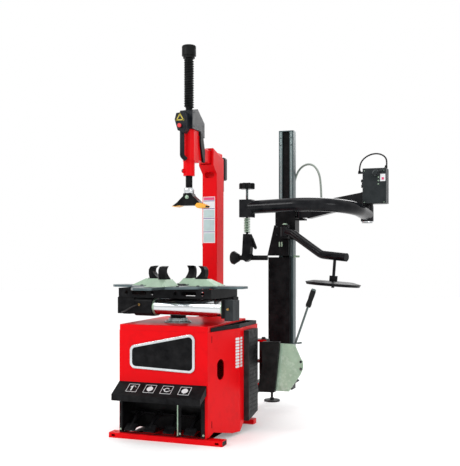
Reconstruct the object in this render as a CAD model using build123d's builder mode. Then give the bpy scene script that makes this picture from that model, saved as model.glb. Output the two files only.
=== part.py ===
"""Tilt-column tire changer with a right-hand helper arm, in millimetres.

The origin is on the floor under the turntable axis: +X to the right, -Y to the front, +Z up.
"""

import math
import os

from build123d import *

# driving dimensions
CAB_X = 250  # half width of the cabinet's front
CAB_FRONT, CAB_REAR = -200, 400
SIDE_X = 320  # the right side splays out to here
LEDGE_Z, TOP_Z = 570, 600
SHEET = 3
RAIL_H = 28
SHAFT_R = 42.5
PLATE_Z = 800  # upper face of the turntable
PLATE_T = 12
ARM_R = 400  # reach of the turntable arms
TABLE_TURN = -6  # degrees
JAW_R = 144
POST_Y = 150  # axis of the tool shaft
COL_X = 46
COL_FRONT, COL_REAR = 460, 580
TILT_Y, TILT_Z = 560, 620
ARM_LOW, ARM_HIGH = 1500, 1580
BREAKER_X, BREAKER_Y = 345, 440
MAST_LOW, MAST_HIGH = 170, 1740
LINK_X, LINK_Y = 450, 885
ELBOW_X, ELBOW_Y = 884, 777
PRESS_X, PRESS_Y = 261, 390
SWING_X, SWING_Y = 375, 780
PIN_R = 12
FIT = 0.05  # radial running clearance
GAP = 0.3  # clearance between sliding faces

os.makedirs("parts", exist_ok=True)


def save(piece, name):
    piece.part.label = name
    export_step(piece.part, f"parts/{name}.step")


# ---------------------------------------------------------------- base and cabinet
with BuildPart() as base_frame:
    with BuildSketch(Plane.YZ.offset(-305)):
        with Locations((-182.5, RAIL_H / 2)):
            RectangleRounded(65, RAIL_H, 4)
        with Locations((-182.5, RAIL_H / 2)):
            RectangleRounded(59, RAIL_H - 6, 2, mode=Mode.SUBTRACT)
    extrude(amount=640)
    with Locations((34, 372, RAIL_H / 2)):
        Box(560, 50, RAIL_H)
    with Locations((0, 98.5, 3)):
        Box(220, 497, 6)
    with Locations((-280, -182.5, RAIL_H), (305, -182.5, RAIL_H)):
        Hole(7)
    for end in (-280, 305):
        with BuildSketch(Plane.XZ.offset(210)):
            with Locations((end, RAIL_H / 2)):
                SlotOverall(22, 10)
        extrude(amount=12, both=True, mode=Mode.SUBTRACT)
save(base_frame, "base_frame")

cabinet_plan = [
    (-CAB_X, CAB_FRONT),
    (CAB_X, CAB_FRONT),
    (SIDE_X, 100),
    (SIDE_X, CAB_REAR),
    (-CAB_X, CAB_REAR),
]
with BuildPart() as cabinet_shell:
    with BuildSketch(Plane.XY.offset(12)) as outline:
        with BuildLine():
            Polyline(cabinet_plan, close=True)
        make_face()
    extrude(amount=LEDGE_Z - 12)
    with BuildSketch(Plane.XY.offset(12)):
        add(outline.sketch_local)
        offset(amount=-SHEET, mode=Mode.REPLACE)
    extrude(amount=LEDGE_Z - 12 - SHEET, mode=Mode.SUBTRACT)
    # the roof is open under the lid
    with Locations((0, 100, LEDGE_Z)):
        Box(494, 594, 20, mode=Mode.SUBTRACT)
    # the base rails pass under the walls
    with Locations((0, -178, 12)):
        Box(700, 70, 2 * (RAIL_H - 12) + 0.4, mode=Mode.SUBTRACT)
    with Locations((0, 372, 12)):
        Box(2 * CAB_X - 6, 51, 2 * (RAIL_H - 12) + 0.4, mode=Mode.SUBTRACT)
    # notch over the rail's right end and the raised rear of the right side
    with BuildSketch(Plane.YZ.offset(CAB_X - SHEET - 2)):
        Polygon(
            (-201, 10), (-201, 35), (-188, 35), (-146, 55), (25, 18), (100, 14), (165, 60),
            (401, 80), (401, 10), align=None,
        )
    extrude(amount=90, mode=Mode.SUBTRACT)
    # mouth of the pedal bay
    with Locations((-6, CAB_FRONT, 159)):
        Box(460, 20, 250, mode=Mode.SUBTRACT)
    # grab hole in the splayed side
    with Locations((285, -84, 370)):
        Box(60, 62, 44, mode=Mode.SUBTRACT)
    with BuildSketch(Plane.YZ.offset(240)):
        with Locations((-84, 392), (-84, 348)):
            Circle(31)
    extrude(amount=70, mode=Mode.SUBTRACT)
    # welded ears and pin of the bead breaker
    for z in (217, 466):
        with BuildSketch(Plane.XY.offset(z)):
            with BuildLine():
                Polyline((290, 399), (375, 399), (378, 452), (345, 472), (290, 452), close=True)
            make_face()
        extrude(amount=13)
    with Locations((BREAKER_X, BREAKER_Y, 348)):
        Cylinder(PIN_R, 262)
save(cabinet_shell, "cabinet_shell")

with BuildPart() as cabinet_top:
    with Locations((0, 100, 585)):
        Box(500, 600, 30)
    fillet(cabinet_top.edges().filter_by(Axis.Z), 6)
    fillet(cabinet_top.faces().sort_by(Axis.Z)[-1].edges(), 5)
    with Locations((0, 100, 583)):
        Box(494, 594, 28, mode=Mode.SUBTRACT)
    with Locations((0, 0, 590)):
        Cylinder(60, 40, mode=Mode.SUBTRACT)
save(cabinet_top, "cabinet_top")

with BuildPart() as side_tray:
    with BuildSketch(Plane.XY.offset(LEDGE_Z)) as tray_plan:
        with BuildLine():
            Polyline((254, -165), (316, 101), (316, 392), (254, 392), close=True)
        make_face()
    extrude(amount=20)
    with BuildSketch(Plane.XY.offset(LEDGE_Z + 3)):
        add(tray_plan.sketch_local)
        offset(amount=-3, mode=Mode.REPLACE)
    extrude(amount=20, mode=Mode.SUBTRACT)
save(side_tray, "side_tray")

with BuildPart() as bead_pad:
    with BuildSketch(Plane.YZ.offset(SIDE_X)):
        with BuildLine():
            Polyline((160, 60), (320, 88), (320, 552), (160, 552), close=True)
        make_face()
    extrude(amount=30)
    fillet(bead_pad.faces().sort_by(Axis.X)[-1].edges(), 4)
    with Locations((352, 240, 320)):
        with GridLocations(0, 22, 1, 6):
            Box(8, 5, 560, mode=Mode.SUBTRACT)
save(bead_pad, "bead_pad")

with BuildPart() as nameplate:
    with BuildSketch(Plane.XZ.offset(-CAB_FRONT)):
        with BuildLine():
            plate_rim = FilletPolyline(
                (-186, 489), (181, 565), (181, 359), (-186, 372), radius=30, close=True
            )
        make_face()
    extrude(amount=6)
save(nameplate, "nameplate")

with BuildPart() as pedal_hood:
    with BuildSketch(Plane.YZ.offset(-CAB_X)):
        Polygon(
            (CAB_FRONT, 300), (-290, 244), (-290, 212), (-284, 212), (-284, 238), (CAB_FRONT, 292),
            align=None,
        )
    extrude(amount=495)
    for side in (-CAB_X, 241):
        with BuildSketch(Plane.YZ.offset(side)):
            Polygon((-203, 296), (-287, 241), (-287, 216), (-203, 252), align=None)
        extrude(amount=4)
save(pedal_hood, "pedal_hood")

# ---------------------------------------------------------------- pedals
PEDAL_X = (-175, -65, 45, 160)
PEDAL_Y, PEDAL_Z, PEDAL_ROD = -95, 120, 8
with BuildPart() as pedal_bay:
    with Locations((-6, -129, 159)):
        Box(459, 142, 249)
    with Locations((-6, -132, 154)):
        Box(454, 144, 254, mode=Mode.SUBTRACT)
    with BuildSketch(Plane.XZ.offset(-CAB_FRONT)):
        with Locations((-6, 159)):
            Rectangle(484, 256)
        with Locations((-74, 130)):
            Rectangle(316, 190, mode=Mode.SUBTRACT)
        with Locations((160, 110)):
            Rectangle(110, 150, mode=Mode.SUBTRACT)
    extrude(amount=2.5)
    with Locations((-6, PEDAL_Y, PEDAL_Z)):
        Cylinder(PEDAL_ROD, 456, rotation=(0, 90, 0))
    with Locations((88, -204, 114)):
        Box(6, 3, 166)
save(pedal_bay, "pedal_bay")

for number, x in enumerate(PEDAL_X, start=1):
    with BuildPart() as pedal:
        with BuildSketch(Plane.YZ.offset(x - 6)):
            Polygon(
                (PEDAL_Y - 6, 132), (-150, 118), (-212, 72), (-214, 62), (-160, 92), (PEDAL_Y, 108),
                align=None,
            )
        extrude(amount=12)
        with Locations((x, PEDAL_Y, PEDAL_Z)):
            Cylinder(15, 30, rotation=(0, 90, 0))
            Cylinder(PEDAL_ROD + FIT, 60, rotation=(0, 90, 0), mode=Mode.SUBTRACT)
        with Locations((x, -213, 64)):
            Box(58, 46, 9, rotation=(32, 0, 0))
    save(pedal, f"pedal_{number}")

# ---------------------------------------------------------------- drive
with BuildPart() as shaft_bearing:
    with BuildSketch(Plane.XZ):
        with BuildLine():
            Polyline(
                (SHAFT_R + FIT, 545), (59.5, 545), (59.5, TOP_Z), (72, TOP_Z),
                (72, 606), (54, 609), (51, 626), (SHAFT_R + FIT, 626), close=True,
            )
        make_face()
    revolve(axis=Axis.Z)
    with PolarLocations(64, 6):
        with Locations((0, 0, 604)):
            Cylinder(5, 8, align=(Align.CENTER, Align.CENTER, Align.MIN))
save(shaft_bearing, "shaft_bearing")

with BuildPart() as gearbox:
    with Locations((0, 10, 435)):
        Box(190, 190, 170)
    fillet(gearbox.edges().filter_by(Axis.Z), 18)
    with Locations((0, 10, 520)):
        with GridLocations(150, 140, 2, 2):
            Cylinder(10, 77, align=(Align.CENTER, Align.CENTER, Align.MIN))
    with Locations((0, 0, 460)):
        Cylinder(SHAFT_R + FIT, 122, mode=Mode.SUBTRACT)
save(gearbox, "gearbox")

with BuildPart() as motor:
    with BuildSketch(Plane.XZ.offset(-105)):
        with Locations((0, 435)):
            Circle(76)
            with PolarLocations(78, 24):
                Rectangle(14, 4)
    extrude(amount=-190)
    with BuildSketch(Plane.XZ.offset(-295)):
        with Locations((0, 435)):
            Circle(82)
    extrude(amount=-45)
    with Locations((0, 190, 515)):
        Box(90, 90, 36, align=(Align.CENTER, Align.CENTER, Align.CENTER))
save(motor, "motor")

# ---------------------------------------------------------------- turntable
TABLE = Plane.XY.rotated((0, 0, TABLE_TURN))
with BuildPart() as turntable_hub:
    with Locations((0, 0, 402)):
        Cylinder(SHAFT_R, 374, align=(Align.CENTER, Align.CENTER, Align.MIN))
    with Locations((0, 0, 764)):
        Cylinder(110, 12, align=(Align.CENTER, Align.CENTER, Align.MIN))
    with PolarLocations(90, 6):
        with Locations((0, 0, 756)):
            Cylinder(8, 8, align=(Align.CENTER, Align.CENTER, Align.MIN))
save(turntable_hub, "turntable_hub")

with BuildPart() as turntable_plate:
    with BuildSketch(TABLE.offset(PLATE_Z - PLATE_T)):
        Circle(250)
        with PolarLocations(0, 4):
            with Locations((ARM_R / 2, 0)):
                Rectangle(ARM_R, 120)
    extrude(amount=PLATE_T)
    chamfer(turntable_plate.edges().filter_by(Axis.Z).group_by(SortBy.DISTANCE)[-1], 28)
    # channel under the plate that carries the cylinders
    with BuildSketch(TABLE.offset(738)):
        Rectangle(560, 310)
        Rectangle(548, 298, mode=Mode.SUBTRACT)
    extrude(amount=PLATE_Z - PLATE_T - 738)
    with BuildSketch(Plane.XZ.rotated((0, 0, TABLE_TURN)).offset(-200)):
        with Locations((-150, 764), (150, 764)):
            SlotOverall(90, 22)
        with Locations((-70, 764), (70, 764), (-230, 764), (230, 764)):
            Circle(11)
    extrude(amount=400, mode=Mode.SUBTRACT)
    with BuildSketch(TABLE.offset(PLATE_Z - PLATE_T - 1)):
        with PolarLocations(0, 4):
            with Locations((225, 0)):
                SlotOverall(250, 24)
    extrude(amount=PLATE_T + 2, mode=Mode.SUBTRACT)
    with BuildSketch(TABLE.offset(776)):
        Circle(112)
    extrude(amount=PLATE_Z - PLATE_T - 776)
save(turntable_plate, "turntable_plate")

BARREL_Y, BARREL_R, BARREL_Z = 100, 42, 690
with BuildPart() as clamp_barrels:
    for turn in (0, 180):
        with BuildSketch(Plane.YZ.rotated((0, 0, TABLE_TURN + turn)).offset(-78)):
            with Locations((-BARREL_Y, BARREL_Z)):
                Circle(BARREL_R)
        extrude(amount=413)
save(clamp_barrels, "clamp_barrels")

with BuildPart() as clamp_blocks:
    for turn in (0, 180):
        with BuildSketch(Plane.YZ.rotated((0, 0, TABLE_TURN + turn)).offset(-186)):
            with Locations((-BARREL_Y, 689)):
                RectangleRounded(98, 98, 24)
        extrude(amount=108)
        with BuildSketch(Plane.YZ.rotated((0, 0, TABLE_TURN + turn)).offset(-290)):
            with Locations((-118, 694)):
                Rectangle(62, 88)
        extrude(amount=104)
        with BuildSketch(Plane.YZ.rotated((0, 0, TABLE_TURN + turn)).offset(335)):
            with Locations((-BARREL_Y, 690)):
                RectangleRounded(98, 96, 6)
        extrude(amount=13)
        with BuildSketch(Plane.YZ.rotated((0, 0, TABLE_TURN + turn)).offset(348)):
            with Locations((-BARREL_Y, 682)):
                Rectangle(78, 104)
        extrude(amount=47)
save(clamp_blocks, "clamp_blocks")

for number in range(1, 5):
    turn = TABLE_TURN + 90 * (number - 1)
    side_view = Plane.XZ.rotated((0, 0, turn))
    with BuildPart() as jaw_slide:
        with BuildSketch(Plane.XY.rotated((0, 0, turn)).offset(PLATE_Z + GAP)):
            with Locations((175, 0)):
                Rectangle(170, 112)
        with BuildSketch(Plane.XY.rotated((0, 0, turn)).offset(PLATE_Z + 36)):
            with Locations((150, 0)):
                Rectangle(72, 60)
        loft()
        with BuildSketch(Plane.XY.rotated((0, 0, turn)).offset(PLATE_Z - PLATE_T + GAP)):
            with Locations((170, 0)):
                Rectangle(70, 23)
        extrude(amount=PLATE_T + 4)
    save(jaw_slide, f"jaw_slide_{number}")
    with BuildPart() as jaw:
        with BuildSketch(side_view.offset(-20)):
            with BuildLine():
                Polyline(
                    (112, 836), (168, 836), (175, 862), (174, 886), (162, 902), (134, 906),
                    (150, 889), (151, 874), (139, 858), close=True,
                )
            make_face()
        extrude(amount=40)
    save(jaw, f"jaw_{number}")

# ---------------------------------------------------------------- column and tool arm
with BuildPart() as column_bracket:
    with BuildSketch(Plane.YZ.offset(-62)):
        Polygon(
            (CAB_REAR, 420), (630, 420), (630, 600), (590, 660), (530, 660), (450, 600),
            (CAB_REAR, 600), align=None,
        )
    extrude(amount=124)
    with Locations((0, 520, 560)):
        Box(100, 240, 256, mode=Mode.SUBTRACT)
    with Locations((0, TILT_Y, TILT_Z)):
        Cylinder(15, 140, rotation=(0, 90, 0))
save(column_bracket, "column_bracket")

with BuildPart() as column:
    with BuildSketch(Plane.YZ.offset(-COL_X)):
        with BuildLine():
            Polyline(
                (COL_FRONT, 640), (COL_REAR, 640), (COL_REAR + 5, 1420), (COL_REAR + 5, 1542),
                (405, 1592), (405, 1494), (COL_FRONT, 1450), close=True,
            )
        make_face()
    extrude(amount=2 * COL_X)
    fillet(column.edges().filter_by(Axis.Z), 6)
    with Locations((0, 522, 1020)):
        Box(2 * COL_X - 10, 108, 770, mode=Mode.SUBTRACT)
    # passage of the tool arm and the slot under it
    with Locations((0, 495, 1540)):
        Box(66, 200, 86, mode=Mode.SUBTRACT)
    with BuildSketch(Plane.XZ.offset(-COL_FRONT - 30)):
        with Locations((0, 1440)):
            SlotOverall(62, 34)
    extrude(amount=80, mode=Mode.SUBTRACT)
    with Locations((0, TILT_Y, TILT_Z)):
        Cylinder(34, 2 * COL_X, rotation=(0, 90, 0))
    with Locations((0, 545, 630)):
        Box(2 * COL_X, 60, 24)
    with Locations((0, TILT_Y, TILT_Z)):
        Cylinder(15 + FIT, 200, rotation=(0, 90, 0), mode=Mode.SUBTRACT)
save(column, "column")

with BuildPart() as slide_arm:
    with BuildSketch(Plane.XZ.offset(-222)):
        with Locations((0, 1540)):
            RectangleRounded(60, ARM_HIGH - ARM_LOW, 6)
            RectangleRounded(50, ARM_HIGH - ARM_LOW - 10, 3, mode=Mode.SUBTRACT)
    extrude(amount=-378)
    with BuildSketch(Plane.YZ.offset(19)):
        Polygon((224, 1640), (300, 1600), (300, 1580), (224, 1580), align=None)
    extrude(amount=11)
save(slide_arm, "slide_arm")

with BuildPart() as arm_tail_cap:
    with Locations((0, 626, 1490)):
        Box(90, 52, 140)
    fillet(arm_tail_cap.edges(), 12)
save(arm_tail_cap, "arm_tail_cap")

HEX_R = 36 / math.sqrt(3)  # corner radius of the hexagonal shaft
with BuildPart() as tool_head:
    with Locations((0, POST_Y, 1405)):
        Cylinder(32, 258, align=(Align.CENTER, Align.CENTER, Align.MIN))
    with Locations((0, 186, 1573.5)):
        Box(60, 72, 179)
    fillet(tool_head.edges().filter_by(Axis.Z).group_by(Axis.Y)[-1], 6)
    with BuildSketch(Plane.XY.offset(1400)):
        with Locations((0, POST_Y)):
            RegularPolygon(HEX_R + 0.06, 6)
    extrude(amount=300, mode=Mode.SUBTRACT)
save(tool_head, "tool_head")

with BuildPart() as head_cover:
    with BuildSketch(Plane.YZ.offset(-38)):
        with BuildLine():
            FilletPolyline(
                (110, 1663), (110, 1766), (186, 1783), (290, 1716), (290, 1629), (229, 1663),
                radius=5, close=True,
            )
        make_face()
    extrude(amount=76)
    # control block with its grip
    with BuildSketch(Plane.XZ.offset(-111)):
        with BuildLine():
            Polyline(
                (-38, 1745), (8, 1750), (20, 1735), (20, 1655), (4, 1634), (-30, 1650), (-48, 1710),
                close=True,
            )
        make_face()
    extrude(amount=51)
    with BuildLine() as grip_line:
        FilletPolyline((-14, 86, 1680), (-14, 86, 1512), (0, 104, 1493), radius=16)
    with BuildSketch(Plane(origin=grip_line.line @ 0, z_dir=grip_line.line % 0)):
        Circle(13)
    sweep()
    with Locations((0, POST_Y, 1720)):
        Cylinder(26, 200, mode=Mode.SUBTRACT)
    with Locations((-16, 60, 1675)):
        Cylinder(8.3, 24, rotation=(90, 0, 0), mode=Mode.SUBTRACT)
save(head_cover, "head_cover")

with BuildPart() as lock_button:
    with Locations((-16, 51.5, 1675)):
        Cylinder(11, 7, rotation=(90, 0, 0))
    with Locations((-16, 60, 1675)):
        Cylinder(8, 14, rotation=(90, 0, 0))
save(lock_button, "lock_button")

with BuildPart() as tool_shaft:
    with BuildSketch(Plane.XY.offset(1335)):
        with Locations((0, POST_Y)):
            RegularPolygon(HEX_R, 6)
    extrude(amount=735)
save(tool_shaft, "tool_shaft")

with BuildPart() as mount_head:
    with BuildSketch(Plane.XZ.offset(-POST_Y - 30)):
        with BuildLine():
            Polyline(
                (-24, 1307), (24, 1307), (34, 1290), (60, 1268), (82, 1244), (114, 1236),
                (108, 1226), (62, 1224), (44, 1240), (-44, 1240), (-72, 1234), (-92, 1238),
                (-62, 1258), (-42, 1278), (-26, 1292), close=True,
            )
        make_face()
    extrude(amount=60)
    fillet(mount_head.edges().filter_by(Axis.X, reverse=True).filter_by(Plane.XZ), 4)
    with Locations((0, POST_Y, 1307)):
        Cylinder(26, 28, align=(Align.CENTER, Align.CENTER, Align.MIN))
save(mount_head, "mount_head")

SPRING_LOW, SPRING_HIGH, SPRING_TURNS = 1784, 2062, 20
with BuildPart() as return_spring:
    pitch = (SPRING_HIGH - SPRING_LOW) / SPRING_TURNS
    with BuildSketch(Plane(origin=(0, POST_Y, 0), z_dir=(0, -1, 0), x_dir=(1, 0, 0))):
        with BuildLine():
            folds = [
                (28 - 3 * (step % 2), SPRING_LOW + step * pitch / 2)
                for step in range(2 * SPRING_TURNS + 1)
            ]
            Polyline([(21.2, SPRING_LOW), *folds, (21.2, SPRING_HIGH)], close=True)
        make_face()
    revolve(axis=Axis((0, POST_Y, 0), (0, 0, 1)))
save(return_spring, "return_spring")

with BuildPart() as shaft_cap:
    with Locations((0, POST_Y, 2062)):
        Cylinder(33, 14, align=(Align.CENTER, Align.CENTER, Align.MIN))
    with Locations((0, POST_Y, 2076)):
        Cylinder(40, 58, align=(Align.CENTER, Align.CENTER, Align.MIN))
    fillet(shaft_cap.faces().sort_by(Axis.Z)[-1].edges(), 9)
    with BuildSketch(Plane.XY.offset(2060)):
        with Locations((0, POST_Y)):
            RegularPolygon(HEX_R, 6)
    extrude(amount=10, mode=Mode.SUBTRACT)
save(shaft_cap, "shaft_cap")

# ---------------------------------------------------------------- bead breaker
BLADE_Y = 250
with BuildPart() as breaker_arm:
    with Locations((BREAKER_X, BREAKER_Y, 348)):
        Cylinder(25, 235)
    with BuildSketch(Plane.XY.offset(340)):
        Polygon(
            (325, 425), (368, 455), (560, 284), (560, BLADE_Y + 4), (500, BLADE_Y + 4), align=None
        )
    extrude(amount=124)
    with Locations((BREAKER_X, 488, 340)):
        Box(20, 95, 20)
    with Locations((BREAKER_X, BREAKER_Y, 348)):
        Cylinder(PIN_R + FIT, 300, mode=Mode.SUBTRACT)
save(breaker_arm, "breaker_arm")

with BuildPart() as breaker_blade:
    with BuildSketch(Plane.XZ.offset(-BLADE_Y + 4)):
        with BuildLine():
            Polyline(
                (450, 481), (583, 477), (614, 409), (630, 377), (630, 346), (616, 314),
                (551, 218), (450, 217), close=True,
            )
        make_face()
    extrude(amount=-8)
    with Locations((622, 240, 385), (622, 240, 345)):
        Cylinder(9, 12, rotation=(90, 0, 0))
save(breaker_blade, "breaker_blade")

with BuildPart() as blade_guard:
    with BuildSketch(Plane.XZ.offset(-BLADE_Y + 28)):
        with BuildLine():
            Polyline((402, 487), (504, 489), (476, 212), (384, 210), (384, 251))
            ThreePointArc((384, 251), (397, 300), (405, 357))
            Line((405, 357), (402, 487))
        make_face()
    extrude(amount=-32)
    fillet(blade_guard.edges().filter_by(Axis.Y), 4)
    with Locations((550, BLADE_Y, 349)):
        Box(200, 8, 264, mode=Mode.SUBTRACT)
save(blade_guard, "blade_guard")

with BuildPart() as breaker_handle:
    with BuildLine() as lever_line:
        Line((585, BLADE_Y, 477), (668, BLADE_Y, 715))
    with BuildSketch(Plane(origin=lever_line.line @ 0, z_dir=lever_line.line % 0)):
        Circle(6)
    sweep()
    with BuildSketch(Plane(origin=lever_line.line @ 0.86, z_dir=lever_line.line % 1)):
        Circle(13)
    extrude(amount=105)
    fillet(breaker_handle.faces().sort_by(Axis.Z)[-1].edges(), 6)
    with Locations((600, 240, 484)):
        Cylinder(5, 50, rotation=(0, 80, 0))
    with Locations((585, BLADE_Y, 420)):
        Box(200, 60, 2 * 61, mode=Mode.SUBTRACT)
save(breaker_handle, "breaker_handle")

ROD_Y, ROD_Z = 520, 340
with BuildPart() as breaker_cylinder:
    with BuildSketch(Plane.YZ.offset(-150)):
        with Locations((ROD_Y, ROD_Z)):
            Circle(60)
    extrude(amount=390)
    with Locations((-125, 433, ROD_Z), (215, 433, ROD_Z)):
        Box(30, 66, 80)
    with BuildSketch(Plane.YZ.offset(-138)):
        with Locations((ROD_Y, ROD_Z)):
            Circle(52)
    extrude(amount=366, mode=Mode.SUBTRACT)
    with BuildSketch(Plane.YZ.offset(200)):
        with Locations((ROD_Y, ROD_Z)):
            Circle(PIN_R + FIT)
    extrude(amount=60, mode=Mode.SUBTRACT)
save(breaker_cylinder, "breaker_cylinder")

with BuildPart() as breaker_rod:
    with BuildSketch(Plane.YZ.offset(60)):
        with Locations((ROD_Y, ROD_Z)):
            Circle(51.9)
    extrude(amount=20)
    with BuildSketch(Plane.YZ.offset(80)):
        with Locations((ROD_Y, ROD_Z)):
            Circle(PIN_R)
    extrude(amount=245)
    with BuildSketch(Plane.YZ.offset(325)):
        with Locations((ROD_Y, ROD_Z)):
            Circle(20)
    extrude(amount=8)
save(breaker_rod, "breaker_rod")

# ---------------------------------------------------------------- helper: base, mast, carriage
with BuildPart() as helper_base:
    with Locations((200, 756.5, 145)):
        Box(60, 707, 50)
    with Locations((285, 900, 145)):
        Box(230, 80, 50)
    with Locations((200, 405, 150)):
        Box(140, 10, 150)
    with Locations((357, 900, 167)):
        Box(130, 100, 6)
    with Locations((200, 1080, 145)):
        Cylinder(8 + FIT, 100, mode=Mode.SUBTRACT)
save(helper_base, "helper_base")

with BuildPart() as levelling_foot:
    with Locations((200, 1080, 0)):
        Cylinder(52, 10, align=(Align.CENTER, Align.CENTER, Align.MIN))
        Cylinder(8, 196, align=(Align.CENTER, Align.CENTER, Align.MIN))
        Cylinder(14, 12 + 10, align=(Align.CENTER, Align.CENTER, Align.MIN))
save(levelling_foot, "levelling_foot")

MAST_X, MAST_Y = 356.5, 900.5
with BuildPart() as mast:
    with BuildSketch(Plane.XY.offset(MAST_LOW)):
        with Locations((MAST_X, MAST_Y)):
            RectangleRounded(95, 65, 4)
            RectangleRounded(83, 53, 2, mode=Mode.SUBTRACT)
            with Locations((0, -30)):
                Rectangle(44, 20, mode=Mode.SUBTRACT)
    extrude(amount=MAST_HIGH - MAST_LOW)
    with BuildSketch(Plane.XY.offset(MAST_HIGH)):
        with Locations((MAST_X, MAST_Y)):
            RectangleRounded(95, 65, 4)
    extrude(amount=6)
save(mast, "mast")

with BuildPart() as mast_cover:
    with Locations((319, 853, 562)):
        Box(138, 30, 776)
    with Locations((319, 856, 562)):
        Box(132, 28, 770, mode=Mode.SUBTRACT)
save(mast_cover, "mast_cover")

with BuildPart() as carriage:
    with Locations((MAST_X, MAST_Y, 1175)):
        Box(129, 99, 230)
        Box(99, 69, 400, mode=Mode.SUBTRACT)
    with Locations((341.5, 834.5, 1107)):
        Box(93, 33, 86)
    with BuildSketch(Plane.XZ.offset(-818)):
        Polygon((295, 1150), (388, 1150), (388, 960), (250, 960), (269, 1040), align=None)
    extrude(amount=-16)
    for z in (1180, 1283):
        with Locations((447, 885, z + 6)):
            Box(66, 60, 12)
    with Locations((LINK_X, LINK_Y, 1237.5)):
        Cylinder(PIN_R, 115)
    for z in (1066, 1138):
        with Locations((SWING_X, 791, z + 6)):
            Box(48, 66, 12)
    with Locations((SWING_X, SWING_Y, 1110)):
        Cylinder(PIN_R, 80)
save(carriage, "carriage")

# ---------------------------------------------------------------- helper: arms
link_length = math.hypot(ELBOW_X - LINK_X, ELBOW_Y - LINK_Y)
link_side = Plane(
    origin=(LINK_X, LINK_Y, 0),
    x_dir=(ELBOW_X - LINK_X, ELBOW_Y - LINK_Y, 0),
    z_dir=(ELBOW_Y - LINK_Y, LINK_X - ELBOW_X, 0),
)
with BuildPart() as link_arm:
    with BuildSketch(link_side.offset(-24)):
        Polygon(
            (10, 1196), (50, 1196), (62, 1190), (link_length - 52, 1258), (link_length - 10, 1258),
            (link_length - 10, 1338), (62, 1285), (50, 1279), (10, 1279), align=None,
        )
    extrude(amount=48)
    with Locations((LINK_X, LINK_Y, 1237.5)):
        Cylinder(28, 84)
    with Locations((ELBOW_X, ELBOW_Y, 1296.5)):
        Cylinder(36, 83)
    with Locations((ELBOW_X, 741, 1345)):
        Box(40, 12, 120)
    with Locations((LINK_X, LINK_Y, 1237.5), (ELBOW_X, ELBOW_Y, 1280)):
        Cylinder(PIN_R + FIT, 200, mode=Mode.SUBTRACT)
save(link_arm, "link_arm")

BLOCK_Z = 1231
with BuildPart() as reach_arm:
    with BuildLine() as reach_line:
        FilletPolyline(
            (ELBOW_X, ELBOW_Y, 1203), (852, 290, 1251), (PRESS_X + 20, PRESS_Y - 2, 1238), radius=280
        )
    with BuildSketch(Plane(origin=reach_line.line @ 0, z_dir=reach_line.line % 0)):
        Circle(38)
    sweep()
    with Locations((ELBOW_X, ELBOW_Y, 1209)):
        Cylinder(38, 90)
    with Locations((PRESS_X, PRESS_Y, BLOCK_Z)):
        Box(72, 72, 102)
    with Locations((PRESS_X, PRESS_Y, BLOCK_Z)):
        Cylinder(7 + FIT, 200, mode=Mode.SUBTRACT)
    with Locations((ELBOW_X, ELBOW_Y, 1250)):
        Cylinder(PIN_R, 186)
    with Locations((ELBOW_X, ELBOW_Y, 1159)):
        Cylinder(31, 10)
save(reach_arm, "reach_arm")

BOX_X, BOX_Y, BOX_LOW, BOX_HIGH = 950, 685, 1263, 1464
with BuildPart() as control_box:
    with Locations((BOX_X, BOX_Y, (BOX_LOW + BOX_HIGH) / 2)):
        Box(136, 100, BOX_HIGH - BOX_LOW)
    fillet(control_box.edges().filter_by(Axis.Z), 4)
    with Locations((BOX_X + 10, 625, 1436)):
        Cylinder(PIN_R, 20, rotation=(90, 0, 0))
    with Locations((866, 696, 1446)):
        Cylinder(6.5, 40, rotation=(0, 90, 0))
save(control_box, "control_box")

with BuildPart() as control_lever:
    with BuildSketch(Plane.XZ.offset(-632)):
        with Locations((BOX_X + 10, 1436)):
            Circle(19)
    extrude(amount=12)
    with BuildLine() as valve_line:
        Line((BOX_X + 10, 626, 1436), (BOX_X + 64, 626, 1462))
    with BuildSketch(Plane(origin=valve_line.line @ 0, z_dir=valve_line.line % 0)):
        Circle(5)
    sweep()
    with Locations((BOX_X + 10, 626, 1436)):
        Cylinder(PIN_R + FIT, 40, rotation=(90, 0, 0), mode=Mode.SUBTRACT)
save(control_lever, "control_lever")

with BuildPart() as press_screw:
    with Locations((PRESS_X, PRESS_Y, 1085)):
        Cylinder(7, 260, align=(Align.CENTER, Align.CENTER, Align.MIN))
    with BuildSketch(Plane.XY.offset(1344)):
        with Locations((PRESS_X, PRESS_Y)):
            Circle(34)
            with PolarLocations(35, 7):
                Circle(11)
    extrude(amount=34)
    fillet(press_screw.faces().sort_by(Axis.Z)[-1].edges(), 8)
save(press_screw, "press_screw")

with BuildPart() as press_spring:
    with BuildSketch(Plane(origin=(PRESS_X, PRESS_Y, 0), z_dir=(0, -1, 0), x_dir=(1, 0, 0))):
        with BuildLine():
            coils = [(20 - 3 * (step % 2), 1089 + step * 4.5) for step in range(21)]
            Polyline([(9, 1089), *coils, (9, 1179)], close=True)
        make_face()
    revolve(axis=Axis((PRESS_X, PRESS_Y, 0), (0, 0, 1)))
save(press_spring, "press_spring")

with BuildPart() as press_tool:
    with BuildSketch(Plane.XZ.offset(-PRESS_Y - 26)):
        with BuildLine():
            Polyline(
                (245, 1085), (280, 1085), (292, 1060), (304, 1012), (290, 1012), (286, 970),
                (300, 948), (262, 924), (228, 946), (238, 970), close=True,
            )
        make_face()
    extrude(amount=52)
    with BuildSketch(Plane.YZ.offset(165)):
        with Locations((PRESS_Y, 948)):
            Circle(30)
    with BuildSketch(Plane.YZ.offset(182)):
        with Locations((PRESS_Y, 948)):
            Circle(40)
    loft()
    with BuildSketch(Plane.YZ.offset(182)):
        with Locations((PRESS_Y, 948)):
            Circle(40)
    with BuildSketch(Plane.YZ.offset(215)):
        with Locations((PRESS_Y, 948)):
            Circle(20)
    loft()
    with BuildSketch(Plane.YZ.offset(214)):
        with Locations((PRESS_Y, 948)):
            Circle(14)
    extrude(amount=170)
save(press_tool, "press_tool")

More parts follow.
